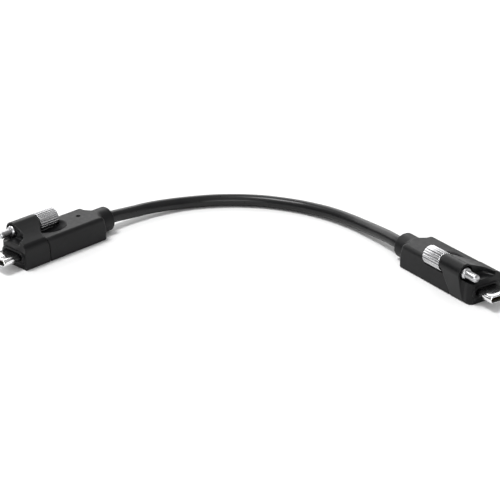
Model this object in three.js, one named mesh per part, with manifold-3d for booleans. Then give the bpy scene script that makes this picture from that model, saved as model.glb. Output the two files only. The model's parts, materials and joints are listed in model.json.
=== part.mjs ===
// A short Type-C lead with a single captive thumbscrew lock on each plug.
// Millimetres, +Z up. Both plugs lie on z = 0 and the cable joins them in one shallow arc.
//
// Each plug is built in its own frame: +X points out of the plug, the front face of the
// housing is at x = 0, the plug's axis is y = 0, the underside is z = 0, and the screw
// lug is on the -Y side.

import * as THREE from 'three';
import { mergeVertices } from 'three/addons/utils/BufferGeometryUtils.js';
import Module from 'manifold-3d';

const wasm = await Module();
wasm.setup();

// ---- driving dimensions ----

// The rear moulding and the front housing.
const BODY_WIDTH = 12.35;
const BODY_HEIGHT = 8.1;
const BODY_LENGTH = 33.1;
const FRONT_LENGTH = 9.7;
const EDGE_RADIUS = 0.5;
const TOP_RADIUS = 1.35;
const RIDGE_RADIUS = 2.2;
const RIDGE_HEIGHT = 8.65;
const AXIS_HEIGHT = 3.8;
const BOSS_WIDTH = 10.6;
const BOSS_HEIGHT = 4.0;
const BOSS_DEPTH = 0.3;
const CHEEK_RADIUS = 2.0;
const CHEEK_STEPS = 5;

// Clearance between separate pieces, and how far a cutting tool runs past what it cuts.
const FIT_GAP = 0.3;
const SMALL_GAP = 0.15;
const OVERRUN = 1;
const ABOVE_ALL = 14;
const BESIDE_ALL = 12;

// The cable collar.
const COLLAR_END = 38.6;
const COLLAR_MIDDLE = 4.02;
const COLLAR_HALF_WIDTH = 4.15;
const COLLAR_HALF_HEIGHT = 4.0;
const COLLAR_CORNER = 3.9;
const COLLAR_LIP = 0.3;
const COLLAR_LIP_LENGTH = 0.4;

// The screw lug, and the open bay cut around the screw's tip.
const SCREW_SIDE = 4.94;
const SCREW_HEIGHT = 9.0;
const LUG_RADIUS = 2.9;
const LUG_FRONT = 3.7;
const LUG_END = 12.9;
const LUG_COUNTERBORE = 2.3;
const LUG_COUNTERBORE_DEPTH = 1.4;
const BAY_FLOOR = 7.6;
const BAY_OUTLINE = [
  [LUG_FRONT, -BESIDE_ALL],
  [LUG_FRONT, 0.3],
  [3.3, 1.4],
  [2.5, 2.3],
  [1.4, 2.9],
  [0, 3.3],
];
const TAIL_SIDE = [
  [FRONT_LENGTH, 3.4],
  [10.5, 4.4],
  [11.3, 5.8],
  [12.2, 7.6],
  [LUG_END, SCREW_HEIGHT],
];
const TAIL_PLAN = [
  [FRONT_LENGTH, 2.6],
  [LUG_END, -1.6],
];

// The thumbscrew.
const KNOB_RADIUS = 2.95;
const FLUTE_DEPTH = 0.28;
const FLUTES = 20;
const KNOB_FRONT = 13.2;
const KNOB_BACK = 20.6;
const KNOB_FRONT_RIM = 0.4;
const KNOB_BACK_RIM = 0.5;
const SHANK_RADIUS = 1.25;
const SHANK_CHAMFER = 0.35;
const SHANK_TIP = -1.25;
const SHANK_BACK = 17.0;
const RETAINER_RADIUS = 1.85;
const RETAINER_TAPER = 0.35;
const RETAINER_BORE = 1.35;
const RETAINER_FRONT = 2.95;
const RETAINER_SHOULDER = 3.6;
const RETAINER_BACK = 4.7;

// The hollow pressed into the rear moulding around and beneath the knob.
const SCOOP_DEPTH = 16;
const SCOOP_SIDE = -1.0;
const SCOOP_SIZE = [5.9, 4.7, 3.0];

// The indicator hole on the left plug.
const HOLE_RADIUS = 0.72;
const HOLE_DEPTH = 1.0;
const HOLE_BACK = 27.4;
const HOLE_SIDE = -0.8;

// The plug shell, its insulating liner and the metal inside it.
const SHELL_WIDTH = 8.25;
const SHELL_HEIGHT = 2.4;
const SHELL_WALL = 0.2;
const SHELL_TIP = -6.65;
const SHELL_BACK = 3.0;
const LINER_HALF_WIDTH = SHELL_WIDTH / 2 - SHELL_WALL - SMALL_GAP;
const LINER_HALF_HEIGHT = SHELL_HEIGHT / 2 - SHELL_WALL - SMALL_GAP;
const LINER_TIP = -6.3;
const LINER_BACK = 2.6;
const MOUTH_HALF_WIDTH = 3.45;
const MOUTH_HALF_HEIGHT = 0.5;
const MOUTH_DEPTH = -0.8;
const CONTACTS = 12;
const CONTACT_PITCH = 0.5;
const CONTACT_HALF_WIDTH = 0.13;
const CONTACT_THICK = 0.12;
const CONTACT_LIFT = 0.28;
const CONTACT_TIP = -5.7;
const CONTACT_BAR_HALF = 2.9;
const BAR_NEAR = -1.25;
const BAR_FAR = -0.95;
const LATCH_HALF_THICK = 0.1;
const LATCH_HALF_WIDTH = 3.3;
const LATCH_ARM = 0.2;
const LATCH_TIP = -5.0;

// The cavity behind the plug and what sits in it.
const CAVITY_HALF = 4.6;
const CAVITY_FLOOR = 1.6;
const CAVITY_ROOF = 5.2;
const CAVITY_CLEARANCE = 0.1;
const BOARD_FRONT = 3.6;
const BOARD_BACK = 15.6;
const BOARD_HALF_THICK = 0.4;
const BOARD_HALF_WIDTH = 4.2;
const SHIELD_INSET = 0.2;
const SHIELD_WALL = 0.15;
const SHIELD_HALF_WIDTH = 4.4;
const SOLDER_GAP = 0.08;
const MARKER_CHIP = { near: 7.6, far: 10.4, halfWidth: 1.4, height: 0.55 };
const FILTER_CAPACITOR = { near: 12.2, far: 13.4, halfWidth: 0.6, height: 0.5 };
const MOLD_FRONT = 16.5;
const MOLD_BACK = 25.0;
const MOLD_HALF_WIDTH = 4.4;
const DUCT_HALF_WIDTH = 2.4;
const DUCT_HALF_HEIGHT = 0.8;
const FERRULE_FRONT = 27.2;
const FERRULE_BACK = 31.0;
const FERRULE_RADIUS = 2.7;
const FERRULE_BORE = 2.3;
const CRIMP_ROOM = 2.9;
const WIRE_FRONT = 15.9;
const WIRE_BACK = 27.6;
const WIRE_SPACING = 1.5;
const WIRE_RADIUS = 0.55;
const CONTROL_WIRE_RADIUS = 0.4;

// The cable, and how finely round shapes are divided.
const CABLE_DIAMETER = 4.1;
const CABLE_SIDES = 12;
const CABLE_STEPS = 64;
const ROUND_SIDES = 28;
const WIRE_SIDES = 12;
const SCOOP_SIDES = 24;
const SCOOP_RINGS = 16;
const HOLE_SIDES = 20;
const CURVE_STEPS = 12;
const WELD_DISTANCE = 1e-5;

// Where each plug lies: the middle of its front face and the way it points, in degrees.
const PLUGS = {
  left: { front: [-71.6, 1.4], heading: 226.2 },
  right: { front: [72.0, -23.6], heading: -56.0 },
};

// The cable's centreline, from inside the left collar to inside the right one.
const CABLE_ROUTE = [
  [-52.2, 21.6, 3.8],
  [-49.4, 24.5, 3.8],
  [-47.0, 27.0, 3.8],
  [-44.6, 29.5, 3.8],
  [-42.5, 31.7, 3.75],
  [-39.4, 34.6, 3.35],
  [-36.1, 37.4, 3.05],
  [-32.7, 40.1, 2.85],
  [-29.1, 42.4, 2.65],
  [-25.3, 44.5, 2.4],
  [-21.4, 46.3, 2.2],
  [-17.3, 47.6, 2.1],
  [-13.1, 48.6, 2.08],
  [-8.8, 49.2, 2.08],
  [-4.5, 49.4, 2.08],
  [-0.2, 49.3, 2.08],
  [4.1, 48.8, 2.08],
  [8.3, 47.9, 2.08],
  [12.4, 46.6, 2.08],
  [16.4, 45.0, 2.1],
  [20.3, 43.1, 2.15],
  [23.9, 40.8, 2.25],
  [27.4, 38.3, 2.35],
  [30.7, 35.5, 2.4],
  [33.8, 32.4, 2.45],
  [36.6, 29.2, 2.55],
  [39.2, 25.7, 2.75],
  [41.7, 22.2, 3.0],
  [44.0, 18.6, 3.35],
  [46.3, 14.9, 3.65],
  [48.5, 11.2, 3.8],
  [50.2, 8.7, 3.8],
  [52.1, 5.8, 3.8],
  [54.1, 2.9, 3.8],
  [56.3, -0.4, 3.8],
];

// ---- colours ----

const charcoal = new THREE.MeshStandardMaterial({ color: 0x2b2d2f, roughness: 0.5, metalness: 0 });
const darkGrey = new THREE.MeshStandardMaterial({ color: 0x3d3e41, roughness: 0.55, metalness: 0 });
const cableGrey = new THREE.MeshStandardMaterial({ color: 0x303133, roughness: 0.4, metalness: 0 });
const nickel = new THREE.MeshStandardMaterial({ color: 0xc9cacb, roughness: 0.2, metalness: 1 });
const steel = new THREE.MeshStandardMaterial({ color: 0xb4b5b7, roughness: 0.3, metalness: 1 });
const gold = new THREE.MeshStandardMaterial({ color: 0xd9b25c, roughness: 0.3, metalness: 1 });
const blackPlastic = new THREE.MeshStandardMaterial({ color: 0x141414, roughness: 0.6, metalness: 0 });
const boardGreen = new THREE.MeshStandardMaterial({ color: 0x1f5a35, roughness: 0.6, metalness: 0 });
const redWire = new THREE.MeshStandardMaterial({ color: 0xa83232, roughness: 0.6, metalness: 0 });
const milky = new THREE.MeshStandardMaterial({ color: 0xd8d6cf, roughness: 0.6, metalness: 0 });

// ---- solids ----

function toSolid(geometry) {
  const bare = geometry.index ? geometry.toNonIndexed() : geometry.clone();
  bare.deleteAttribute('normal');
  bare.deleteAttribute('uv');
  const merged = mergeVertices(bare, WELD_DISTANCE);
  return new wasm.Manifold(new wasm.Mesh({
    numProp: 3,
    vertProperties: new Float32Array(merged.attributes.position.array),
    triVerts: new Uint32Array(merged.index.array),
  }));
}

function toGeometry(solid) {
  const mesh = solid.getMesh();
  const geometry = new THREE.BufferGeometry();
  geometry.setAttribute('position', new THREE.BufferAttribute(mesh.vertProperties, 3));
  geometry.setIndex(new THREE.BufferAttribute(mesh.triVerts, 1));
  return geometry;
}

function joined(solids) {
  return solids.reduce((whole, next) => whole.add(next));
}

function cut(solid, ...tools) {
  return tools.reduce((rest, tool) => rest.subtract(tool), solid);
}

// A section in (y, z), swept from depth `near` to depth `far` behind the front face.
function alongPlug(section, near, far) {
  const shape = section instanceof THREE.Shape ? section : new THREE.Shape(section);
  const options = { depth: far - near, bevelEnabled: false, curveSegments: CURVE_STEPS };
  const geometry = new THREE.ExtrudeGeometry(shape, options);
  const axes = new THREE.Matrix4().makeBasis(
    new THREE.Vector3(0, 1, 0),
    new THREE.Vector3(0, 0, 1),
    new THREE.Vector3(1, 0, 0),
  );
  geometry.applyMatrix4(axes);
  geometry.translate(-far, 0, 0);
  return toSolid(geometry);
}

// An outline in (depth, z), swept sideways from y = `from` to y = `to`.
function acrossPlug(outline, from, to) {
  const shape = new THREE.Shape(outline.map(([depth, z]) => new THREE.Vector2(-depth, z)));
  const geometry = new THREE.ExtrudeGeometry(shape, { depth: to - from, bevelEnabled: false });
  geometry.rotateX(Math.PI / 2);
  geometry.translate(0, to, 0);
  return toSolid(geometry);
}

// An outline in (depth, y), swept upwards from z = `from` to z = `to`.
function upPlug(outline, from, to) {
  const shape = new THREE.Shape(outline.map(([depth, y]) => new THREE.Vector2(-depth, y)));
  const geometry = new THREE.ExtrudeGeometry(shape, { depth: to - from, bevelEnabled: false });
  geometry.translate(0, 0, from);
  return toSolid(geometry);
}

// A round solid on the plug's X direction. The profile is [depth, radius] pairs.
function turned(profile, y, z, segments = ROUND_SIDES) {
  const points = profile.map(([depth, radius]) => new THREE.Vector2(radius, -depth));
  const geometry = new THREE.LatheGeometry(points.reverse(), segments);
  geometry.rotateZ(-Math.PI / 2);
  geometry.translate(0, y, z);
  return toSolid(geometry);
}

function rod(near, far, radius, y, z, segments = ROUND_SIDES) {
  return turned([[near, 0], [near, radius], [far, radius], [far, 0]], y, z, segments);
}

function box(near, far, y0, y1, z0, z1) {
  const geometry = new THREE.BoxGeometry(far - near, y1 - y0, z1 - z0);
  geometry.translate(-(near + far) / 2, (y0 + y1) / 2, (z0 + z1) / 2);
  return toSolid(geometry);
}

// A rectangle with round corners, given by its middle, its half sizes and the corner radii.
function roundedSection(z, halfWidth, halfHeight, topRadius, bottomRadius = topRadius) {
  const shape = new THREE.Shape();
  const top = z + halfHeight;
  const bottom = z - halfHeight;
  shape.moveTo(-halfWidth + bottomRadius, bottom);
  shape.lineTo(halfWidth - bottomRadius, bottom);
  shape.absarc(halfWidth - bottomRadius, bottom + bottomRadius, bottomRadius, -Math.PI / 2, 0);
  shape.lineTo(halfWidth, top - topRadius);
  shape.absarc(halfWidth - topRadius, top - topRadius, topRadius, 0, Math.PI / 2);
  shape.lineTo(-halfWidth + topRadius, top);
  shape.absarc(-halfWidth + topRadius, top - topRadius, topRadius, Math.PI / 2, Math.PI);
  shape.lineTo(-halfWidth, bottom + bottomRadius);
  shape.absarc(-halfWidth + bottomRadius, bottom + bottomRadius, bottomRadius, Math.PI, 1.5 * Math.PI);
  return shape;
}

// ---- the two mouldings ----

// The front housing's section: one rounded top corner, a straight slope rising to the round
// screw lug, and a side wall that leans in from the lug to the bottom edge.
function lugSection() {
  const half = BODY_WIDTH / 2;
  const ridgeY = half - RIDGE_RADIUS;
  const ridgeZ = RIDGE_HEIGHT - RIDGE_RADIUS;
  const lugY = -SCREW_SIDE;
  const reachY = ridgeY - lugY;
  const reachZ = SCREW_HEIGHT - ridgeZ;
  const reach = Math.hypot(reachY, reachZ);
  const tilt = Math.atan2(reachZ, reachY) + Math.asin((LUG_RADIUS - RIDGE_RADIUS) / reach);
  const normal = Math.PI / 2 - tilt;
  const footY = -half + EDGE_RADIUS;
  const footZ = EDGE_RADIUS;
  const wall = Math.hypot(lugY - footY, SCREW_HEIGHT - footZ);
  const lean = Math.atan2(SCREW_HEIGHT - footZ, lugY - footY);
  const wallNormal = lean + Math.acos((EDGE_RADIUS - LUG_RADIUS) / wall);
  const shape = new THREE.Shape();
  shape.moveTo(footY, 0);
  shape.lineTo(half - EDGE_RADIUS, 0);
  shape.absarc(half - EDGE_RADIUS, EDGE_RADIUS, EDGE_RADIUS, -Math.PI / 2, 0);
  shape.lineTo(half, ridgeZ);
  shape.absarc(ridgeY, ridgeZ, RIDGE_RADIUS, 0, normal);
  shape.absarc(lugY, SCREW_HEIGHT, LUG_RADIUS, normal, wallNormal);
  shape.absarc(footY, footZ, EDGE_RADIUS, wallNormal, 1.5 * Math.PI);
  return shape;
}

// The part of the lug that reaches back over the rear moulding, as far as the knob.
// With `grow` it is the room the rear moulding leaves around it.
function lugTail(section, grow) {
  const start = FRONT_LENGTH - OVERRUN;
  const end = LUG_END + grow;
  const side = [
    [start, TAIL_SIDE[0][1] - grow],
    ...TAIL_SIDE.map(([depth, z]) => [depth + grow, z - grow]),
    [end, ABOVE_ALL],
    [start, ABOVE_ALL],
  ];
  const plan = [
    [start, TAIL_PLAN[0][1] + grow],
    ...TAIL_PLAN.map(([depth, y]) => [depth + grow, y + grow]),
    [end, -BESIDE_ALL],
    [start, -BESIDE_ALL],
  ];
  const fromSide = acrossPlug(side, -BESIDE_ALL, BESIDE_ALL);
  const fromAbove = upPlug(plan, -OVERRUN, ABOVE_ALL);
  const body = alongPlug(section, start, end);
  return body.intersect(fromSide).intersect(fromAbove);
}

// The room beside the front of the housing, ahead of the lug: the side wall there is upright
// and its front corner is round.
function cheekCutter() {
  const side = -BODY_WIDTH / 2;
  const outline = [[-OVERRUN, -BESIDE_ALL], [LUG_FRONT, -BESIDE_ALL], [LUG_FRONT, side]];
  for (let i = 0; i <= CHEEK_STEPS; i += 1) {
    const angle = (i / CHEEK_STEPS) * (Math.PI / 2);
    const depth = CHEEK_RADIUS * (1 - Math.sin(angle));
    outline.push([depth, side + CHEEK_RADIUS * (1 - Math.cos(angle))]);
  }
  outline.push([-OVERRUN, side + CHEEK_RADIUS]);
  return upPlug(outline, -OVERRUN, ABOVE_ALL);
}

function electronicsCavity(near, far) {
  return box(near, far, -CAVITY_HALF, CAVITY_HALF, CAVITY_FLOOR, CAVITY_ROOF);
}

function screwRod(near, far, radius) {
  return rod(near, far, radius, -SCREW_SIDE, SCREW_HEIGHT);
}

function frontHousing() {
  const section = lugSection();
  const block = alongPlug(section, 0, FRONT_LENGTH);
  const bossSection = roundedSection(AXIS_HEIGHT, BOSS_WIDTH / 2, BOSS_HEIGHT / 2, BOSS_HEIGHT / 2);
  const boss = alongPlug(bossSection, -BOSS_DEPTH, OVERRUN);
  const bayFrontSide = BAY_OUTLINE.at(-1)[1];
  const bayPlan = [[-OVERRUN, -BESIDE_ALL], ...BAY_OUTLINE, [-OVERRUN, bayFrontSide]];
  const bay = upPlug(bayPlan, BAY_FLOOR, ABOVE_ALL);
  const slotHalfHeight = SHELL_HEIGHT / 2 + SMALL_GAP;
  const slot = roundedSection(AXIS_HEIGHT, SHELL_WIDTH / 2 + SMALL_GAP, slotHalfHeight, slotHalfHeight);
  const mouth = alongPlug(slot, -BOSS_DEPTH - OVERRUN, BOARD_FRONT);
  const cavity = electronicsCavity(BOARD_FRONT - FIT_GAP, LUG_END + OVERRUN);
  const bore = screwRod(LUG_FRONT - OVERRUN, LUG_END + OVERRUN, SHANK_RADIUS + FIT_GAP);
  const counterbore = screwRod(LUG_FRONT - OVERRUN, LUG_FRONT + LUG_COUNTERBORE_DEPTH, LUG_COUNTERBORE);
  const solid = joined([cut(block, cheekCutter()), lugTail(section, 0), boss]);
  return cut(solid, bay, mouth, cavity, bore, counterbore);
}

function screwScoop() {
  const ball = new THREE.SphereGeometry(1, SCOOP_SIDES, SCOOP_RINGS);
  ball.scale(...SCOOP_SIZE);
  ball.translate(-SCOOP_DEPTH, SCOOP_SIDE, SCREW_HEIGHT);
  return toSolid(ball);
}

function indicatorHole() {
  const hole = new THREE.CylinderGeometry(HOLE_RADIUS, HOLE_RADIUS, 2 * HOLE_DEPTH, HOLE_SIDES);
  hole.rotateX(Math.PI / 2);
  hole.translate(-HOLE_BACK, HOLE_SIDE, BODY_HEIGHT);
  return toSolid(hole);
}

function rearOvermold(hasIndicator) {
  const middle = BODY_HEIGHT / 2;
  const section = roundedSection(middle, BODY_WIDTH / 2, middle, TOP_RADIUS, EDGE_RADIUS);
  const block = alongPlug(section, FRONT_LENGTH + FIT_GAP, BODY_LENGTH);
  const neckSection = roundedSection(
    COLLAR_MIDDLE,
    COLLAR_HALF_WIDTH,
    COLLAR_HALF_HEIGHT,
    COLLAR_CORNER,
  );
  const neck = alongPlug(neckSection, BODY_LENGTH - OVERRUN, COLLAR_END - COLLAR_LIP_LENGTH);
  const lipSection = roundedSection(
    COLLAR_MIDDLE,
    COLLAR_HALF_WIDTH - COLLAR_LIP,
    COLLAR_HALF_HEIGHT - COLLAR_LIP,
    COLLAR_CORNER - COLLAR_LIP,
  );
  const lip = alongPlug(lipSection, COLLAR_END - COLLAR_LIP_LENGTH - OVERRUN, COLLAR_END);
  const knobPocket = screwRod(FRONT_LENGTH - OVERRUN, KNOB_BACK + FIT_GAP, KNOB_RADIUS + FIT_GAP);
  const tailRoom = lugTail(lugSection(), FIT_GAP);
  const cavity = electronicsCavity(FRONT_LENGTH - OVERRUN, MOLD_BACK + FIT_GAP);
  const crimpRoom = rod(MOLD_BACK, FERRULE_BACK + FIT_GAP, CRIMP_ROOM, 0, AXIS_HEIGHT);
  const cableBore = rod(MOLD_BACK, COLLAR_END + OVERRUN, CABLE_DIAMETER / 2 + FIT_GAP, 0, AXIS_HEIGHT);
  const plain = cut(
    joined([block, neck, lip]),
    knobPocket,
    screwScoop(),
    tailRoom,
    cavity,
    crimpRoom,
    cableBore,
  );
  return hasIndicator ? cut(plain, indicatorHole()) : plain;
}

// ---- the plug insert ----

function plugShell() {
  const outer = roundedSection(AXIS_HEIGHT, SHELL_WIDTH / 2, SHELL_HEIGHT / 2, SHELL_HEIGHT / 2);
  const innerHalfWidth = SHELL_WIDTH / 2 - SHELL_WALL;
  const innerHalfHeight = SHELL_HEIGHT / 2 - SHELL_WALL;
  const inner = roundedSection(AXIS_HEIGHT, innerHalfWidth, innerHalfHeight, innerHalfHeight);
  const tube = alongPlug(outer, SHELL_TIP, SHELL_BACK);
  return cut(tube, alongPlug(inner, SHELL_TIP - OVERRUN, SHELL_BACK + OVERRUN));
}

function plugInsulator() {
  const section = roundedSection(AXIS_HEIGHT, LINER_HALF_WIDTH, LINER_HALF_HEIGHT, LINER_HALF_HEIGHT);
  const liner = alongPlug(section, LINER_TIP, LINER_BACK);
  const low = AXIS_HEIGHT - MOUTH_HALF_HEIGHT;
  const high = AXIS_HEIGHT + MOUTH_HALF_HEIGHT;
  const mouth = box(SHELL_TIP, MOUTH_DEPTH, -MOUTH_HALF_WIDTH, MOUTH_HALF_WIDTH, low, high);
  return cut(liner, mouth);
}

// Contact fingers joined at the back by the bar that carries them.
function contactRow(side) {
  const inner = AXIS_HEIGHT + side * CONTACT_LIFT;
  const outer = inner + side * CONTACT_THICK;
  const low = Math.min(inner, outer);
  const high = Math.max(inner, outer);
  const bar = box(BAR_NEAR, BAR_FAR, -CONTACT_BAR_HALF, CONTACT_BAR_HALF, low, high);
  const fingers = [];
  for (let i = 0; i < CONTACTS; i += 1) {
    const y = (i - (CONTACTS - 1) / 2) * CONTACT_PITCH;
    fingers.push(box(CONTACT_TIP, BAR_FAR, y - CONTACT_HALF_WIDTH, y + CONTACT_HALF_WIDTH, low, high));
  }
  return joined([bar, ...fingers]);
}

function latchPlate() {
  const low = AXIS_HEIGHT - LATCH_HALF_THICK;
  const high = AXIS_HEIGHT + LATCH_HALF_THICK;
  const bar = box(BAR_NEAR, BAR_FAR, -LATCH_HALF_WIDTH, LATCH_HALF_WIDTH, low, high);
  const rightArm = box(LATCH_TIP, BAR_FAR, LATCH_HALF_WIDTH - LATCH_ARM, LATCH_HALF_WIDTH, low, high);
  const leftArm = box(LATCH_TIP, BAR_FAR, -LATCH_HALF_WIDTH, LATCH_ARM - LATCH_HALF_WIDTH, low, high);
  return joined([bar, rightArm, leftArm]);
}

// ---- the electronics and the cable's end ----

function paddleBoard() {
  const low = AXIS_HEIGHT - BOARD_HALF_THICK;
  const high = AXIS_HEIGHT + BOARD_HALF_THICK;
  return box(BOARD_FRONT, BOARD_BACK, -BOARD_HALF_WIDTH, BOARD_HALF_WIDTH, low, high);
}

// A shallow drawn tray, open towards the board.
function shieldTray(side) {
  const near = BOARD_FRONT + SHIELD_INSET;
  const far = BOARD_BACK - SHIELD_INSET;
  const open = AXIS_HEIGHT + side * (BOARD_HALF_THICK + CAVITY_CLEARANCE);
  const closed = side > 0 ? CAVITY_ROOF - CAVITY_CLEARANCE : CAVITY_FLOOR + CAVITY_CLEARANCE;
  const low = Math.min(open, closed);
  const high = Math.max(open, closed);
  const tray = box(near, far, -SHIELD_HALF_WIDTH, SHIELD_HALF_WIDTH, low, high);
  const hollow = box(
    near + SHIELD_WALL,
    far - SHIELD_WALL,
    SHIELD_WALL - SHIELD_HALF_WIDTH,
    SHIELD_HALF_WIDTH - SHIELD_WALL,
    side > 0 ? low - OVERRUN : low + SHIELD_WALL,
    side > 0 ? high - SHIELD_WALL : high + OVERRUN,
  );
  return cut(tray, hollow);
}

function boardPart({ near, far, halfWidth, height }) {
  const seat = AXIS_HEIGHT + BOARD_HALF_THICK + SOLDER_GAP;
  return box(near, far, -halfWidth, halfWidth, seat, seat + height);
}

function innerMold() {
  const floor = CAVITY_FLOOR + CAVITY_CLEARANCE;
  const roof = CAVITY_ROOF - CAVITY_CLEARANCE;
  const block = box(MOLD_FRONT, MOLD_BACK, -MOLD_HALF_WIDTH, MOLD_HALF_WIDTH, floor, roof);
  const duct = box(
    MOLD_FRONT - OVERRUN,
    MOLD_BACK + OVERRUN,
    -DUCT_HALF_WIDTH,
    DUCT_HALF_WIDTH,
    AXIS_HEIGHT - DUCT_HALF_HEIGHT,
    AXIS_HEIGHT + DUCT_HALF_HEIGHT,
  );
  return cut(block, duct);
}

function crimpFerrule() {
  const outer = rod(FERRULE_FRONT, FERRULE_BACK, FERRULE_RADIUS, 0, AXIS_HEIGHT);
  const inner = rod(FERRULE_FRONT - OVERRUN, FERRULE_BACK + OVERRUN, FERRULE_BORE, 0, AXIS_HEIGHT);
  return cut(outer, inner);
}

function coreWire(y, radius) {
  return rod(WIRE_FRONT, WIRE_BACK, radius, y, AXIS_HEIGHT, WIRE_SIDES);
}

// ---- the thumbscrew ----

function fluteOutline() {
  const points = [];
  for (let i = 0; i < FLUTES * 2; i += 1) {
    const angle = (i * Math.PI) / FLUTES;
    const reach = i % 2 ? KNOB_RADIUS - FLUTE_DEPTH : KNOB_RADIUS;
    const y = -SCREW_SIDE + reach * Math.cos(angle);
    const z = SCREW_HEIGHT + reach * Math.sin(angle);
    points.push(new THREE.Vector2(y, z));
  }
  return points;
}

function thumbscrewKnob() {
  const grip = alongPlug(fluteOutline(), KNOB_FRONT + KNOB_FRONT_RIM, KNOB_BACK - KNOB_BACK_RIM);
  const hub = screwRod(KNOB_FRONT, KNOB_BACK, KNOB_RADIUS - FLUTE_DEPTH - SMALL_GAP);
  const socket = screwRod(KNOB_FRONT - OVERRUN, SHANK_BACK + SMALL_GAP, SHANK_RADIUS + SMALL_GAP);
  return cut(joined([grip, hub]), socket);
}

function thumbscrewShank() {
  return turned([
    [SHANK_TIP, 0],
    [SHANK_TIP, SHANK_RADIUS - SHANK_CHAMFER],
    [SHANK_TIP + SHANK_CHAMFER, SHANK_RADIUS],
    [SHANK_BACK, SHANK_RADIUS],
    [SHANK_BACK, 0],
  ], -SCREW_SIDE, SCREW_HEIGHT);
}

// The flared ring on the shank that keeps the screw from falling out of the lug.
function thumbscrewRetainer() {
  const ring = turned([
    [RETAINER_FRONT, 0],
    [RETAINER_FRONT, RETAINER_RADIUS - RETAINER_TAPER],
    [RETAINER_SHOULDER, RETAINER_RADIUS],
    [RETAINER_BACK, RETAINER_RADIUS],
    [RETAINER_BACK, 0],
  ], -SCREW_SIDE, SCREW_HEIGHT);
  const hole = screwRod(RETAINER_FRONT - OVERRUN, RETAINER_BACK + OVERRUN, RETAINER_BORE);
  return cut(ring, hole);
}

// ---- assembly ----

const lead = new THREE.Group();

function addPiece(group, name, solid, material) {
  const mesh = new THREE.Mesh(toGeometry(solid), material);
  mesh.name = name;
  group.add(mesh);
}

function addPlug(side, hasIndicator) {
  const group = new THREE.Group();
  const { front, heading } = PLUGS[side];
  group.position.set(front[0], front[1], 0);
  group.rotation.z = THREE.MathUtils.degToRad(heading);
  const pieces = [
    ['front_housing', frontHousing(), charcoal],
    ['rear_overmold', rearOvermold(hasIndicator), darkGrey],
    ['plug_shell', plugShell(), nickel],
    ['plug_insulator', plugInsulator(), blackPlastic],
    ['upper_contacts', contactRow(1), gold],
    ['lower_contacts', contactRow(-1), gold],
    ['latch_plate', latchPlate(), steel],
    ['paddle_board', paddleBoard(), boardGreen],
    ['marker_chip', boardPart(MARKER_CHIP), blackPlastic],
    ['filter_capacitor', boardPart(FILTER_CAPACITOR), milky],
    ['upper_shield', shieldTray(1), steel],
    ['lower_shield', shieldTray(-1), steel],
    ['inner_mold', innerMold(), milky],
    ['crimp_ferrule', crimpFerrule(), steel],
    ['power_wire', coreWire(-WIRE_SPACING, WIRE_RADIUS), redWire],
    ['ground_wire', coreWire(0, WIRE_RADIUS), blackPlastic],
    ['control_wire', coreWire(WIRE_SPACING, CONTROL_WIRE_RADIUS), milky],
    ['thumbscrew_knob', thumbscrewKnob(), nickel],
    ['thumbscrew_shank', thumbscrewShank(), steel],
    ['thumbscrew_retainer', thumbscrewRetainer(), steel],
  ];
  for (const [name, solid, material] of pieces) {
    addPiece(group, `${side}_${name}`, solid, material);
  }
  lead.add(group);
}

addPlug('left', true);
addPlug('right', false);

function cableJacket() {
  const path = new THREE.CatmullRomCurve3(
    CABLE_ROUTE.map(([x, y, z]) => new THREE.Vector3(x, y, z)),
    false,
    'centripetal',
  );
  const ring = new THREE.Shape();
  for (let i = 0; i < CABLE_SIDES; i += 1) {
    const angle = (i / CABLE_SIDES) * 2 * Math.PI;
    const x = (CABLE_DIAMETER / 2) * Math.cos(angle);
    const y = (CABLE_DIAMETER / 2) * Math.sin(angle);
    if (i === 0) ring.moveTo(x, y);
    else ring.lineTo(x, y);
  }
  return new THREE.ExtrudeGeometry(ring, { steps: CABLE_STEPS, extrudePath: path, bevelEnabled: false });
}

const cable = new THREE.Mesh(cableJacket(), cableGrey);
cable.name = 'cable_jacket';
lead.add(cable);

export default lead;
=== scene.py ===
"""A Type-C lead with a locking thumbscrew on each plug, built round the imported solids.

The plug's own frame is (t, v, w) in millimetres: t runs back from the front face, v runs
from the plug's middle towards the screw lug, and w is the height above the surface.
"""

import json
import math

import bmesh
import bpy
import numpy as np
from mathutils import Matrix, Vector


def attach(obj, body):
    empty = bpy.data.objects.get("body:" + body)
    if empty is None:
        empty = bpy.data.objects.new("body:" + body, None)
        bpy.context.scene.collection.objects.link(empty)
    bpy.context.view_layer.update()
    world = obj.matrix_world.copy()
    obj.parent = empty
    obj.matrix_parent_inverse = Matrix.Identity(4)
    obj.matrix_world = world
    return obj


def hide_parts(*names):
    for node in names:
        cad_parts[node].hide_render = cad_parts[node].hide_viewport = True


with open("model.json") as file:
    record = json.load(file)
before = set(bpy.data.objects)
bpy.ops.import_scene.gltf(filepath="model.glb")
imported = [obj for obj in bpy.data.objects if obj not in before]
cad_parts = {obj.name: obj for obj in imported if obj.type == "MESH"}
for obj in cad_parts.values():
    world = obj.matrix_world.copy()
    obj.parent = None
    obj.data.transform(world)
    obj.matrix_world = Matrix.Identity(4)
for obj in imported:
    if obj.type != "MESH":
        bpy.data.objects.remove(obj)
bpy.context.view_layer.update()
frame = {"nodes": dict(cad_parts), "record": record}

MM = 0.001

# ---- the plugs' places and the cable's route, as in the solid model ----

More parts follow.
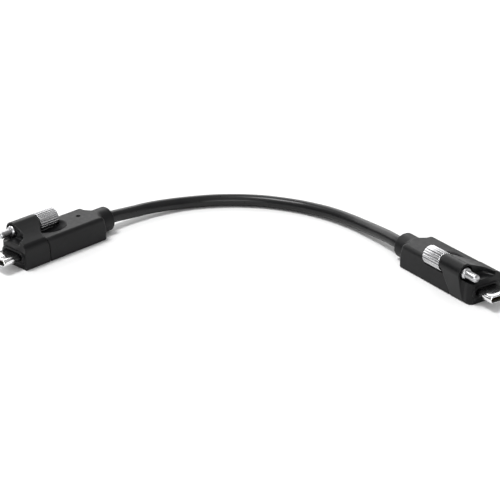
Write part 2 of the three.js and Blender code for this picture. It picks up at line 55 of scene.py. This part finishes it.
PLUGS = {
    "left": {"front": (-71.6, 1.4), "heading": math.radians(226.2)},
    "right": {"front": (72.0, -23.6), "heading": math.radians(-56.0)},
}
CABLE_DIAMETER = 4.1
CABLE_ROUTE = [
    (-52.2, 21.6, 3.8), (-49.4, 24.5, 3.8), (-47.0, 27.0, 3.8), (-44.6, 29.5, 3.8),
    (-42.5, 31.7, 3.75), (-39.4, 34.6, 3.35), (-36.1, 37.4, 3.05), (-32.7, 40.1, 2.85),
    (-29.1, 42.4, 2.65), (-25.3, 44.5, 2.4), (-21.4, 46.3, 2.2), (-17.3, 47.6, 2.1),
    (-13.1, 48.6, 2.08), (-8.8, 49.2, 2.08), (-4.5, 49.4, 2.08), (-0.2, 49.3, 2.08),
    (4.1, 48.8, 2.08), (8.3, 47.9, 2.08), (12.4, 46.6, 2.08), (16.4, 45.0, 2.1),
    (20.3, 43.1, 2.15), (23.9, 40.8, 2.25), (27.4, 38.3, 2.35), (30.7, 35.5, 2.4),
    (33.8, 32.4, 2.45), (36.6, 29.2, 2.55), (39.2, 25.7, 2.75), (41.7, 22.2, 3.0),
    (44.0, 18.6, 3.35), (46.3, 14.9, 3.65), (48.5, 11.2, 3.8), (50.2, 8.7, 3.8),
    (52.1, 5.8, 3.8), (54.1, 2.9, 3.8), (56.3, -0.4, 3.8),
]

# ---- camera ----

CAMERA_PLACE = Vector((0.00193, -0.45856, 0.21506))
CAMERA_AIM = Vector((0.00193, 0.01313, 0.0))
CAMERA_LENS = 117.28

camera_data = bpy.data.cameras.new("camera")
camera_data.lens = CAMERA_LENS
camera = bpy.data.objects.new("camera", camera_data)
camera.location = CAMERA_PLACE
camera.rotation_euler = (CAMERA_AIM - CAMERA_PLACE).to_track_quat("-Z", "Y").to_euler()
bpy.context.scene.collection.objects.link(camera)
bpy.context.scene.camera = camera

# ---- procedural materials ----

# most of a noise texture's values lie between these two
NOISE_LOW = 0.3
NOISE_HIGH = 0.7


class Surface:
    """A node material: base colour with slow variation, uneven roughness and a fine bump."""

    def __init__(self, name, roughness, metallic=0.0):
        self.material = bpy.data.materials.new(name)
        self.material.use_nodes = True
        self.nodes = self.material.node_tree.nodes
        self.links = self.material.node_tree.links
        self.shader = self.nodes["Principled BSDF"]
        self.shader.inputs["Metallic"].default_value = metallic
        self.shader.inputs["Roughness"].default_value = roughness
        self.place = self.nodes.new("ShaderNodeTexCoord").outputs["Object"]

    def node(self, kind, **inputs):
        made = self.nodes.new(kind)
        for key, value in inputs.items():
            socket = made.inputs[key.replace("_", " ")]
            if isinstance(value, bpy.types.NodeSocket):
                self.links.new(value, socket)
            else:
                socket.default_value = value
        return made

    def noise(self, scale, detail=3.0, place=None):
        where = place or self.place
        return self.node("ShaderNodeTexNoise", Vector=where, Scale=scale, Detail=detail).outputs["Fac"]

    def stretched(self, scale):
        """Coordinates scaled by three numbers, for marks that run one way."""
        return self.node("ShaderNodeMapping", Vector=self.place, Scale=scale).outputs["Vector"]

    def spread(self, value, low, high):
        made = self.node("ShaderNodeMapRange", Value=value)
        made.inputs["From Min"].default_value = NOISE_LOW
        made.inputs["From Max"].default_value = NOISE_HIGH
        made.inputs["To Min"].default_value = low
        made.inputs["To Max"].default_value = high
        return made.outputs["Result"]

    def colour(self, value, dark, light):
        ramp = self.nodes.new("ShaderNodeValToRGB")
        ramp.color_ramp.elements[0].position = NOISE_LOW
        ramp.color_ramp.elements[0].color = (*dark, 1)
        ramp.color_ramp.elements[1].position = NOISE_HIGH
        ramp.color_ramp.elements[1].color = (*light, 1)
        self.links.new(value, ramp.inputs["Fac"])
        self.links.new(ramp.outputs["Color"], self.shader.inputs["Base Color"])

    def rough(self, value, low, high):
        self.links.new(self.spread(value, low, high), self.shader.inputs["Roughness"])

    def bump(self, value, depth, strength=1.0):
        made = self.node("ShaderNodeBump", Height=value, Distance=depth, Strength=strength)
        self.links.new(made.outputs["Normal"], self.shader.inputs["Normal"])


def moulded(name, dark, light, low, high, grain, depth, shine=0.3):
    """Satin moulded plastic with a fine spark-eroded grain."""
    made = Surface(name, low)
    made.shader.inputs["Specular IOR Level"].default_value = shine
    made.colour(made.noise(220.0), dark, light)
    made.rough(made.noise(900.0), low, high)
    made.bump(made.noise(grain, 4.0), depth)
    return made.material


def plated(name, dark, light, low, high, scale, depth):
    """Plated or drawn metal with faint directional marks."""
    made = Surface(name, low, 1.0)
    marks = made.noise(40.0, 4.0, made.stretched(scale))
    made.colour(made.noise(300.0), dark, light)
    made.rough(marks, low, high)
    made.bump(marks, depth)
    return made.material


LOOKS = {
    "housing_plastic": moulded(
        "housing_plastic", (0.0045, 0.0047, 0.0051), (0.0062, 0.0064, 0.0068),
        0.32, 0.38, 5200.0, 6e-6, 0.20,
    ),
    "overmold_plastic": moulded(
        "overmold_plastic", (0.0072, 0.0072, 0.0077), (0.0096, 0.0096, 0.0102),
        0.42, 0.50, 4200.0, 8e-6, 0.18,
    ),
    "cable_plastic": moulded(
        "cable_plastic", (0.0070, 0.0070, 0.0075), (0.0095, 0.0095, 0.0100),
        0.27, 0.33, 3600.0, 5e-6, 0.30,
    ),
    "nickel_plate": plated(
        "nickel_plate", (0.80, 0.80, 0.80), (0.87, 0.87, 0.88), 0.15, 0.22, (20, 20, 120), 1e-6
    ),
    "knob_plate": plated(
        "knob_plate", (0.46, 0.46, 0.47), (0.54, 0.54, 0.55), 0.16, 0.24, (30, 30, 60), 5e-7
    ),
    "screw_steel": plated(
        "screw_steel", (0.48, 0.48, 0.49), (0.56, 0.56, 0.57), 0.26, 0.36, (60, 60, 60), 1e-6
    ),
    "spring_steel": plated(
        "spring_steel", (0.55, 0.55, 0.56), (0.66, 0.66, 0.67), 0.22, 0.34, (20, 90, 20), 2e-6
    ),
    "gold_plate": plated(
        "gold_plate", (0.80, 0.58, 0.22), (0.90, 0.68, 0.30), 0.14, 0.24, (60, 20, 20), 1e-6
    ),
    "black_plastic": moulded(
        "black_plastic", (0.010, 0.010, 0.010), (0.016, 0.016, 0.016), 0.38, 0.48, 5200.0, 5e-6
    ),
    "circuit_board": moulded(
        "circuit_board", (0.010, 0.075, 0.030), (0.016, 0.105, 0.045), 0.30, 0.42, 1600.0, 4e-6
    ),
    "milky_plastic": moulded(
        "milky_plastic", (0.58, 0.56, 0.50), (0.66, 0.64, 0.58), 0.40, 0.52, 2600.0, 6e-6
    ),
    "red_insulation": moulded(
        "red_insulation", (0.34, 0.012, 0.010), (0.44, 0.020, 0.016), 0.34, 0.44, 2600.0, 5e-6
    ),
}


def dress(piece, slot):
    piece.data.materials.clear()
    piece.data.materials.append(LOOKS[slot])


# ---- the cable ----


def smooth_route(points, steps):
    """A Catmull-Rom line through the points, with that many steps between two of them."""
    p = np.array([points[0], *points, points[-1]], float)
    p[0] = 2 * p[1] - p[2]
    p[-1] = 2 * p[-2] - p[-3]
    line = []
    for i in range(1, len(p) - 2):
        a, b, c, d = p[i - 1], p[i], p[i + 1], p[i + 2]
        for s in np.arange(steps) / steps:
            square = 2 * a - 5 * b + 4 * c - d
            cube = 3 * b - a - 3 * c + d
            line.append(0.5 * (2 * b + (c - a) * s + square * s**2 + cube * s**3))
    line.append(p[-2])
    return np.array(line)


STEPS_BETWEEN_POINTS = 6

line = smooth_route(CABLE_ROUTE, STEPS_BETWEEN_POINTS) * MM
cable_curve = bpy.data.curves.new("cable_jacket_fine", "CURVE")
cable_curve.dimensions = "3D"
cable_curve.bevel_depth = CABLE_DIAMETER / 2 * MM
cable_curve.bevel_resolution = 10
cable_curve.use_fill_caps = True
spline = cable_curve.splines.new("POLY")
spline.points.add(len(line) - 1)
spline.points.foreach_set("co", np.column_stack([line, np.ones(len(line))]).ravel())
spline.use_smooth = True
cable = bpy.data.objects.new("cable_jacket_fine", cable_curve)
bpy.context.scene.collection.objects.link(cable)
dress(cable, "cable_plastic")
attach(cable, "root")
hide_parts("cable_jacket")

# ---- shapes given by a distance: below nought inside, above nought outside ----


def both(a, b, radius=0.0):
    """The common part of two shapes, its edge rounded to the radius."""
    corner = np.hypot(np.maximum(a + radius, 0), np.maximum(b + radius, 0))
    return np.minimum(np.maximum(a, b), -radius) + corner


def without(a, b, radius=0.0):
    """The first shape with the second cut out of it, the cut's edge rounded."""
    return both(a, -b, radius)


def either(a, b, radius=0.0):
    """Two shapes joined, with a fillet of the radius."""
    return -both(-a, -b, radius)


def polygon(corners, a, b):
    """Signed distance in a plane to a closed outline."""
    a, b = np.broadcast_arrays(a, b)
    nearest = np.full(a.shape, np.inf)
    inside = np.zeros(a.shape, bool)
    for (a0, b0), (a1, b1) in zip(corners, corners[1:] + corners[:1]):
        side_a, side_b = a1 - a0, b1 - b0
        from_a, from_b = a - a0, b - b0
        along = np.clip((from_a * side_a + from_b * side_b) / (side_a**2 + side_b**2), 0, 1)
        nearest = np.minimum(nearest, (from_a - along * side_a) ** 2 + (from_b - along * side_b) ** 2)
        if side_b:
            inside ^= ((b0 > b) != (b1 > b)) & (from_a < from_b * side_a / side_b)
    return np.where(inside, -np.sqrt(nearest), np.sqrt(nearest))


def plate(a, b, half_a, half_b, top, bottom):
    """A rectangle with round corners: one radius above its middle and one below."""
    radius = np.where(b > 0, top, bottom)
    out_a = np.abs(a) - half_a + radius
    out_b = np.abs(b) - half_b + radius
    outside = np.hypot(np.maximum(out_a, 0), np.maximum(out_b, 0))
    return np.minimum(np.maximum(out_a, out_b), 0) + outside - radius


def stadium(v, w, half_width, radius):
    """A bar with round ends, centred where v and w are nought."""
    return np.hypot(np.maximum(np.abs(v) - half_width + radius, 0), w) - radius


def arc(middle, radius, start, end, steps):
    """Points on an arc, from one angle to the other in degrees."""
    angles = np.radians(np.linspace(start, end, steps))
    return [(middle[0] + radius * math.cos(x), middle[1] + radius * math.sin(x)) for x in angles]


def net(field, t, v, w):
    """A closed quad mesh on the surface where the field is nought, from a grid of samples."""
    value = field(t[:, None, None], v[None, :, None], w[None, None, :])
    axes = (t, v, w)
    inside = value < 0
    shape = tuple(n - 1 for n in value.shape)
    total = np.zeros((*shape, 3))
    count = np.zeros(shape)
    crossings = []
    for axis in range(3):
        others = [k for k in range(3) if k != axis]
        low = [slice(None)] * 3
        high = [slice(None)] * 3
        low[axis] = slice(None, -1)
        high[axis] = slice(1, None)
        low, high = tuple(low), tuple(high)
        at = np.argwhere(inside[low] != inside[high])
        first = value[low][tuple(at.T)]
        second = value[high][tuple(at.T)]
        share = first / (first - second)
        point = np.column_stack([axes[k][at[:, k]] for k in range(3)])
        step = axes[axis][at[:, axis] + 1] - axes[axis][at[:, axis]]
        point[:, axis] += share * step
        for da in (0, -1):
            for db in (0, -1):
                cell = at.copy()
                cell[:, others[0]] += da
                cell[:, others[1]] += db
                np.add.at(total, tuple(cell.T), point)
                np.add.at(count, tuple(cell.T), 1)
        crossings.append((at, others, first < 0))
    cells = np.argwhere(count > 0)
    index = np.full(shape, -1)
    index[tuple(cells.T)] = np.arange(len(cells))
    points = total[tuple(cells.T)] / count[tuple(cells.T)][:, None]
    faces = []
    for axis, (at, others, leaving) in enumerate(crossings):
        ring = []
        for da, db in ((-1, -1), (0, -1), (0, 0), (-1, 0)):
            cell = at.copy()
            cell[:, others[0]] += da
            cell[:, others[1]] += db
            ring.append(index[tuple(cell.T)])
        quad = np.column_stack(ring)
        flip = leaving == (axis == 1)
        quad[flip] = quad[flip][:, ::-1]
        faces.append(quad)
    return settled(field, points), np.concatenate(faces)


PROBE = 0.01
SETTLING_ROUNDS = 3
LEAST_SLOPE_SQUARED = 0.2
LONGEST_MOVE = 0.12


def settled(field, points):
    """Points moved along the field's slope until they lie on its surface."""
    for _ in range(SETTLING_ROUNDS):
        here = field(*points.T)
        slope = np.empty_like(points)
        for k in range(3):
            step = np.zeros(3)
            step[k] = PROBE
            slope[:, k] = (field(*(points + step).T) - field(*(points - step).T)) / (2 * PROBE)
        size = np.maximum((slope**2).sum(axis=1), LEAST_SLOPE_SQUARED)
        move = -(here / size)[:, None] * slope
        reach = np.linalg.norm(move, axis=1, keepdims=True)
        points = points + move * np.minimum(1, LONGEST_MOVE / np.maximum(reach, 1e-9))
    return points


def graded(*stops):
    """Grid lines: pairs of a position and the spacing from there to the next one."""
    lines = []
    for (start, spacing), (end, _) in zip(stops, stops[1:]):
        steps = max(1, round((end - start) / spacing))
        lines.extend(start + (end - start) * np.arange(steps) / steps)
    lines.append(stops[-1][0])
    return np.array(lines)


# ---- from the plug's frame to the object's ----


def placed(side, points):
    """(t, v, w) in millimetres to metres in the object's frame."""
    plug = PLUGS[side]
    out = np.array([math.cos(plug["heading"]), math.sin(plug["heading"])])
    lug = np.array([out[1], -out[0]])
    points = np.asarray(points, float)
    flat = np.array(plug["front"]) - points[:, :1] * out + points[:, 1:2] * lug
    return np.column_stack([flat, points[:, 2]]) * MM


def add_piece(name, side, points, faces, slot, body, *nodes):
    mesh = bpy.data.meshes.new(name)
    mesh.from_pydata(placed(side, points).tolist(), [], [list(f) for f in faces])
    mesh.validate()
    mesh.shade_smooth()
    piece = bpy.data.objects.new(name, mesh)
    bpy.context.scene.collection.objects.link(piece)
    dress(piece, slot)
    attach(piece, body)
    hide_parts(*nodes)
    return piece


# ---- the front housing ----

HALF_WIDTH = 6.175
BODY_HEIGHT = 8.1
BODY_LENGTH = 33.1
AXIS_HEIGHT = 3.8
RIDGE_HEIGHT = 8.65
RIDGE_RADIUS = 2.2
FOOT_RADIUS = 0.5
SCREW = (4.94, 9.0)
LUG_RADIUS = 2.9
LUG_FRONT = 3.7
LUG_END = 12.9
SADDLE_DIP = 0.15
BAY_FLOOR = 7.6
SEAM_GAP = 0.16
SEAM_SLOPE = 0.85
CHEEK_RADIUS = 2.0
BOSS_HALF_WIDTH = 5.3
BOSS_RADIUS = 2.0
BOSS_DEPTH = 0.3
MOUTH_HALF_WIDTH = 4.19
MOUTH_RADIUS = 1.265
MOUTH_DEPTH = 4.0
SHANK_BORE = 1.55
COUNTERBORE = 2.3
COUNTERBORE_DEPTH = 1.4
ROOM_HALF_WIDTH = 4.6
ROOM_MIDDLE = 3.4
ROOM_HALF_HEIGHT = 1.8
ROOM_FRONT = 3.3
ROOM_BACK = 25.3


def tangent_angle(first, first_radius, second, second_radius):
    """The direction, in degrees, of the outward normal to the line that touches both discs."""
    away = np.subtract(second, first)
    turn = math.degrees(math.atan2(away[1], away[0]))
    lean = math.degrees(math.acos((first_radius - second_radius) / np.hypot(*away)))
    return turn + lean


def lug_outline():
    """The front housing's section, (v, w): its body, the saddle on top and the lug round the screw."""
    ridge = (-HALF_WIDTH + RIDGE_RADIUS, RIDGE_HEIGHT - RIDGE_RADIUS)
    far_foot = (-HALF_WIDTH + FOOT_RADIUS, FOOT_RADIUS)
    lug_foot = (HALF_WIDTH - FOOT_RADIUS, FOOT_RADIUS)
    slope = tangent_angle(ridge, RIDGE_RADIUS, SCREW, LUG_RADIUS)
    wall = tangent_angle(SCREW, LUG_RADIUS, lug_foot, FOOT_RADIUS)
    saddle = []
    start = arc(ridge, RIDGE_RADIUS, slope, slope, 1)[0]
    end = arc(SCREW, LUG_RADIUS, slope, slope, 1)[0]
    for share in (0.2, 0.4, 0.6, 0.8):
        dip = 4 * SADDLE_DIP * share * (1 - share)
        saddle.append((
            start[0] + (end[0] - start[0]) * share - dip * math.cos(math.radians(slope)),
            start[1] + (end[1] - start[1]) * share - dip * math.sin(math.radians(slope)),
        ))
    return [
        *arc(far_foot, FOOT_RADIUS, 270, 180, 5),
        *arc(ridge, RIDGE_RADIUS, 180, slope, 18),
        *saddle,
        *arc(SCREW, LUG_RADIUS, slope, wall, 34),
        *arc(lug_foot, FOOT_RADIUS, wall, -90, 5),
    ]


LUG_OUTLINE = lug_outline()

# (v, t) corners of the open bay in front of the lug, where the screw's end shows
BAY_OUTLINE = [
    (9.0, -3.0), (9.0, LUG_FRONT), (-0.3, LUG_FRONT), (-0.9, 3.55), (-1.4, 3.3), (-2.0, 2.85),
    (-2.5, 2.2), (-2.9, 1.4), (-3.15, 0.7), (-3.3, 0.0), (-3.4, -3.0),
]


def seam(v, w):
    """How far back the front housing reaches, at each place in its section.

    The seam leans, so a distance along t from it is multiplied by SEAM_SLOPE to bring it
    close to a true distance.
    """
    far = np.interp(w, [0, 5.4, 6.9, 8.5], [9.9, 9.6, 9.1, 8.7])
    near = np.interp(w, [0, 1, 2.9, 4.6, 7.4, 9.0], [9.3, 9.5, 10.0, 10.8, 11.6, LUG_END])
    share = np.interp(v, [-4.8, -2.0, 2.0, 6.2], [0, 0.22, 1, 1])
    return far + (near - far) * share


def screw_bore(v, w, radius):
    """A round hole on the screw's axis."""
    return np.hypot(v - SCREW[0], w - SCREW[1]) - radius


def board_room(v, w):
    """The section of the hollow that holds the board and what is soldered to it."""
    return np.maximum(np.abs(v) - ROOM_HALF_WIDTH, np.abs(w - ROOM_MIDDLE) - ROOM_HALF_HEIGHT)


def front_housing(t, v, w):
    body = both(polygon(LUG_OUTLINE, v, w), -t, 0.25)
    cheek = either(both(v - HALF_WIDTH, -t, CHEEK_RADIUS), LUG_FRONT - t, 1.0)
    body = both(body, cheek, 0.2)
    body = both(body, (t - seam(v, w)) * SEAM_SLOPE, 0.25)
    boss = both(stadium(v, w - AXIS_HEIGHT, BOSS_HALF_WIDTH, BOSS_RADIUS), np.abs(t) - BOSS_DEPTH, 0.15)
    body = either(body, boss, 0.05)
    mouth = stadium(v, w - AXIS_HEIGHT, MOUTH_HALF_WIDTH, MOUTH_RADIUS)
    body = without(body, both(mouth, np.abs(t) - MOUTH_DEPTH), 0.08)
    body = without(body, np.maximum(board_room(v, w), ROOM_FRONT - t))
    bay = both(polygon(BAY_OUTLINE, v, t), BAY_FLOOR - w, 0.6)
    body = without(body, bay, 0.14)
    body = without(body, screw_bore(v, w, SHANK_BORE))
    counterbore = both(screw_bore(v, w, COUNTERBORE), t - LUG_FRONT - COUNTERBORE_DEPTH)
    return without(body, counterbore, 0.15)


# ---- the rear moulding ----

TOP_RADIUS = 1.35
COLLAR_END = 38.6
COLLAR_MIDDLE = 4.02
COLLAR_HALF_WIDTH = 4.15
COLLAR_HALF_HEIGHT = 4.0
COLLAR_CORNER = 3.9
COLLAR_START = 29
KNOB_ROOM = 3.25
KNOB_ROOM_BACK = 20.9
CRIMP_ROOM = 2.9
CRIMP_ROOM_MIDDLE = 28
CRIMP_ROOM_HALF = 3.3
CABLE_BORE = 2.2
CABLE_BORE_FRONT = 26
SCOOP_MIDDLE = (16, 1.0, SCREW[1])
SCOOP_SIZE = (5.9, 4.7, 3.0)
HOLE_RADIUS = 0.72
HOLE_PLACE = (27.4, 0.8)
HOLE_FLOOR = 7.0


def dished(t, v, w):
    """The hollow pressed into the moulding around and beneath the knob."""
    a, b, c = ((x - middle) / size for x, middle, size in zip((t, v, w), SCOOP_MIDDLE, SCOOP_SIZE))
    reach = np.sqrt(a**2 + b**2 + c**2)
    slope = np.sqrt((a / SCOOP_SIZE[0]) ** 2 + (b / SCOOP_SIZE[1]) ** 2 + (c / SCOOP_SIZE[2]) ** 2)
    return reach * (reach - 1) / np.maximum(slope, 1e-6)


def rear_overmold(has_hole):
    def field(t, v, w):
        middle = BODY_HEIGHT / 2
        body = plate(v, w - middle, HALF_WIDTH, middle, TOP_RADIUS, FOOT_RADIUS)
        shoulder = np.interp(w, [4.0, 7.5], [0.4, 1.8])
        body = both(body, t - BODY_LENGTH, shoulder)
        collar = plate(
            v, w - COLLAR_MIDDLE, COLLAR_HALF_WIDTH, COLLAR_HALF_HEIGHT, COLLAR_CORNER, COLLAR_CORNER
        )
        collar = both(collar, t - COLLAR_END, 0.35)
        blend = np.interp(w, [2.5, 7.0], [0.3, 1.6])
        body = either(body, np.maximum(collar, COLLAR_START - t), blend)
        body = np.maximum(body, np.abs(w - middle) - middle)
        body = both(body, (seam(v, w) + SEAM_GAP - t) * SEAM_SLOPE, 0.2)
        body = without(body, dished(t, v, w), 0.3)
        knob_room = both(screw_bore(v, w, KNOB_ROOM), t - KNOB_ROOM_BACK, 0.3)
        body = without(body, knob_room, 0.15)
        body = without(body, np.maximum(board_room(v, w), t - ROOM_BACK))
        from_axis = np.hypot(v, w - AXIS_HEIGHT)
        crimp_room = np.maximum(from_axis - CRIMP_ROOM, np.abs(t - CRIMP_ROOM_MIDDLE) - CRIMP_ROOM_HALF)
        body = without(body, crimp_room)
        cable_way = np.maximum(from_axis - CABLE_BORE, CABLE_BORE_FRONT - t)
        body = without(body, cable_way, 0.2)
        if has_hole:
            from_hole = np.hypot(t - HOLE_PLACE[0], v - HOLE_PLACE[1])
            hole = np.maximum(from_hole - HOLE_RADIUS, HOLE_FLOOR - w)
            body = without(body, hole, 0.12)
        return body

    return field


FINE = 0.16
HOUSING_GRID = (
    graded((-0.6, 0.1), (0.8, FINE), (13.2, 0)),
    graded((-6.5, FINE), (8.2, 0)),
    graded((-0.3, FINE), (12.2, 0)),
)
MIDDLING = 0.24
COARSE = 0.45
OVERMOLD_GRID = (
    graded(
        (8.4, FINE), (23.0, COARSE), (26.2, FINE), (28.4, COARSE),
        (30.4, FINE), (35.2, COARSE), (37.6, FINE), (39.0, 0),
    ),
    graded((-6.5, FINE), (-3.6, MIDDLING), (3.6, FINE), (6.5, 0)),
    graded((-0.3, FINE), (1.2, MIDDLING), (5.4, FINE), (8.4, 0)),
)

# ---- turned and swept pieces ----


def ring_faces(rings, around, closed=False):
    """Quads between rings of points, each ring the same number of points round."""
    faces = []
    for i in range(rings if closed else rings - 1):
        for j in range(around):
            a = i * around + j
            b = i * around + (j + 1) % around
            c = ((i + 1) % rings) * around + (j + 1) % around
            d = ((i + 1) % rings) * around + j
            faces.append((a, b, c, d))
    return faces


def turned(profile, around, wave=None):
    """A solid round the screw's axis from (t, radius) pairs, closed at both ends."""
    angles = np.arange(around) * 2 * math.pi / around
    points = []
    for t, radius in profile:
        swell = wave(t, angles) if wave else 0.0
        reach = radius + swell
        points.append(np.column_stack([
            np.full(around, t),
            SCREW[0] + reach * np.cos(angles),
            SCREW[1] + reach * np.sin(angles),
        ]))
    points = np.concatenate(points)
    faces = ring_faces(len(profile), around)
    faces.append(tuple(range(around))[::-1])
    last = (len(profile) - 1) * around
    faces.append(tuple(last + j for j in range(around)))
    return points, faces


def rounded_profile(front, back, radius, edge, steps=5):
    """(t, radius) pairs of a plain cylinder whose two rims are rounded."""
    start = [
        (front + edge - edge * math.cos(a), radius - edge + edge * math.sin(a))
        for a in np.linspace(0, math.pi / 2, steps)
    ]
    return start + [(front + back - t, r) for t, r in reversed(start)]


KNOB_FRONT = 13.2
KNOB_BACK = 20.6
KNOB_RADIUS = 2.95
KNOB_EDGE = 0.35
KNOB_HUB = 0.9
FLUTES = 20
FLUTE_DEPTH = 0.18
FLUTE_RUNOUT = 0.2
POINTS_PER_FLUTE = 14


def knob():
    rims = rounded_profile(KNOB_FRONT, KNOB_BACK, KNOB_RADIUS, KNOB_EDGE)
    profile = [(KNOB_FRONT, KNOB_HUB), *rims, (KNOB_BACK, KNOB_HUB)]

    def flutes(t, angles):
        inset = min(t - KNOB_FRONT, KNOB_BACK - t)
        depth = FLUTE_DEPTH * min(1.0, max(0.0, inset / FLUTE_RUNOUT))
        return -depth * (0.5 + 0.5 * np.cos(angles * FLUTES)) ** 2

    return turned(profile, FLUTES * POINTS_PER_FLUTE, flutes)


SHANK_RADIUS = 1.25
SHANK_CHAMFER = 0.35
SHANK_TIP = -1.25
SHANK_BACK = 16.9
SHANK_SIDES = 40
THREAD_PITCH = 0.45
THREAD_DEPTH = 0.07
THREAD_END = 2.7
THREAD_RUNOUT = 0.3


def shank():
    length = np.concatenate([
        [SHANK_TIP, SHANK_TIP + 0.02],
        np.arange(SHANK_TIP + 0.1, THREAD_END - 0.1, THREAD_PITCH / 8),
        [THREAD_END + 0.05, SHANK_BACK],
    ])
    profile = []
    for t in length:
        taper = min(SHANK_CHAMFER, t - SHANK_TIP)
        profile.append((t, SHANK_RADIUS - SHANK_CHAMFER + taper))

    def thread(t, angles):
        if t < SHANK_TIP + 0.05 or t > THREAD_END:
            return 0.0
        turn = (t / THREAD_PITCH - angles / (2 * math.pi)) % 1
        fade = min(1.0, (THREAD_END - t) / THREAD_RUNOUT)
        return -THREAD_DEPTH * (1 - np.abs(2 * turn - 1)) * fade

    return turned(profile, SHANK_SIDES, thread)


# (t, radius) pairs of the flared ring
RETAINER_PROFILE = [
    (2.95, 1.3), (2.97, 1.45), (3.05, 1.55), (3.45, 1.8),
    (3.6, 1.85), (4.6, 1.85), (4.7, 1.78), (4.7, 1.3),
]
RETAINER_SIDES = 48


def retainer():
    return turned(RETAINER_PROFILE, RETAINER_SIDES)


SHELL_HALF_WIDTH = 4.125
SHELL_HALF_HEIGHT = 1.2
SHELL_END_POINTS = 20

# (t, inset) pairs: forward along the outside, over the rounded lip and back along the inside
SHELL_PROFILE = [
    (3.0, 0.0), (-6.05, 0.0), (-6.3, 0.02), (-6.48, 0.07), (-6.6, 0.16), (-6.65, 0.27),
    (-6.6, 0.36), (-6.48, 0.4), (-6.38, 0.34), (-6.33, 0.2), (3.0, 0.2),
]


def shell_section(inset):
    """Points round the plug's section, moved in from the outside by the inset."""
    radius = SHELL_HALF_HEIGHT - inset
    flat = SHELL_HALF_WIDTH - SHELL_HALF_HEIGHT
    right = [(flat + a, b) for a, b in arc((0, 0), radius, -90, 90, SHELL_END_POINTS)]
    left = [(a - flat, b) for a, b in arc((0, 0), radius, 90, 270, SHELL_END_POINTS)]
    return [(v, w + AXIS_HEIGHT) for v, w in right + left]


def plug_shell():
    points = []
    for t, inset in SHELL_PROFILE:
        points.extend((t, v, w) for v, w in shell_section(inset))
    rings = len(SHELL_PROFILE)
    faces = ring_faces(rings, len(points) // rings, closed=True)
    return np.array(points), faces


def face_out(piece):
    """Turns every face outwards."""
    work = bmesh.new()
    work.from_mesh(piece.data)
    bmesh.ops.recalc_face_normals(work, faces=work.faces)
    work.to_mesh(piece.data)
    work.free()


for side in PLUGS:
    points, faces = net(front_housing, *HOUSING_GRID)
    housing = add_piece(
        f"{side}_front_housing_fine", side, points, faces,
        "housing_plastic", "root", f"{side}_front_housing",
    )
    points, faces = net(rear_overmold(side == "left"), *OVERMOLD_GRID)
    overmold = add_piece(
        f"{side}_rear_overmold_fine", side, points, faces,
        "overmold_plastic", "root", f"{side}_rear_overmold",
    )
    shell = add_piece(
        f"{side}_plug_shell_fine", side, *plug_shell(), "nickel_plate", "root", f"{side}_plug_shell"
    )
    screw = f"{side}_thumbscrew"
    grip = add_piece(f"{screw}_knob_fine", side, *knob(), "knob_plate", screw, f"{screw}_knob")
    stem = add_piece(f"{screw}_shank_fine", side, *shank(), "screw_steel", screw, f"{screw}_shank")
    ring = add_piece(
        f"{screw}_retainer_fine", side, *retainer(), "screw_steel", screw, f"{screw}_retainer"
    )
    for piece in (housing, overmold, shell, grip, stem, ring):
        face_out(piece)

# ---- the pieces inside, kept as they are and given their finishes ----

slot_of = {part["node"]: part["material_slot"] for part in frame["record"]["subparts"]}
for name, node in frame["nodes"].items():
    if not node.hide_render:
        dress(node, slot_of[name])

# ---- floor and light ----


def flat_look(name, dark, light):
    made = Surface(name, 0.9)
    made.colour(made.noise(6.0), dark, light)
    return made.material


FLOOR_REACH = 3.0
floor_corners = [(x * FLOOR_REACH, y * FLOOR_REACH, 0) for x, y in ((-1, -1), (1, -1), (1, 1), (-1, 1))]
floor_mesh = bpy.data.meshes.new("floor")
floor_mesh.from_pydata(floor_corners, [], [(0, 1, 2, 3)])
floor = bpy.data.objects.new("floor", floor_mesh)
bpy.context.scene.collection.objects.link(floor)
floor_mesh.materials.append(flat_look("floor", (0.90, 0.90, 0.90), (0.92, 0.92, 0.92)))


def soft_light(name, place, aim, width, height, power):
    data = bpy.data.lights.new(name, "AREA")
    data.shape = "RECTANGLE"
    data.size = width
    data.size_y = height
    data.energy = power
    lamp = bpy.data.objects.new(name, data)
    lamp.location = place
    lamp.rotation_euler = (Vector(aim) - Vector(place)).to_track_quat("-Z", "Y").to_euler()
    bpy.context.scene.collection.objects.link(lamp)


soft_light("back_light", (-0.45, 1.05, 0.60), (0, 0.02, 0), 2.0, 0.8, 13.0)
soft_light("top_light", (-0.3, 0.0, 0.95), (0, 0.02, 0), 0.3, 0.3, 6.5)
soft_light("front_light", (-0.15, -0.55, 0.75), (0, 0.02, 0), 0.9, 0.2, 0.5)
soft_light("low_light", (0.0, -0.90, 0.24), (0, 0.04, 0), 0.6, 0.08, 2.6)
soft_light("side_light", (0.95, 0.0, 0.16), (0, 0.02, 0), 0.7, 0.22, 0.8)

world = bpy.data.worlds.new("studio")
world.use_nodes = True
sky = world.node_tree
direction = sky.nodes.new("ShaderNodeTexCoord").outputs["Generated"]
parts = sky.nodes.new("ShaderNodeSeparateXYZ")
sky.links.new(direction, parts.inputs["Vector"])
height = sky.nodes.new("ShaderNodeValToRGB")
sky.links.new(parts.outputs["Z"], height.inputs["Fac"])
SKY = ((0.0, 0.03), (0.22, 0.08), (0.45, 0.30), (0.75, 0.50))
for _ in range(len(SKY) - 2):
    height.color_ramp.elements.new(0.5)
for stop, (place, grey) in zip(height.color_ramp.elements, SKY):
    stop.position = place
    stop.color = (grey, grey, grey, 1)
sky.links.new(height.outputs["Color"], sky.nodes["Background"].inputs["Color"])
sky.nodes["Background"].inputs["Strength"].default_value = 0.9
bpy.context.scene.world = world
bpy.context.scene.view_settings.view_transform = "Standard"
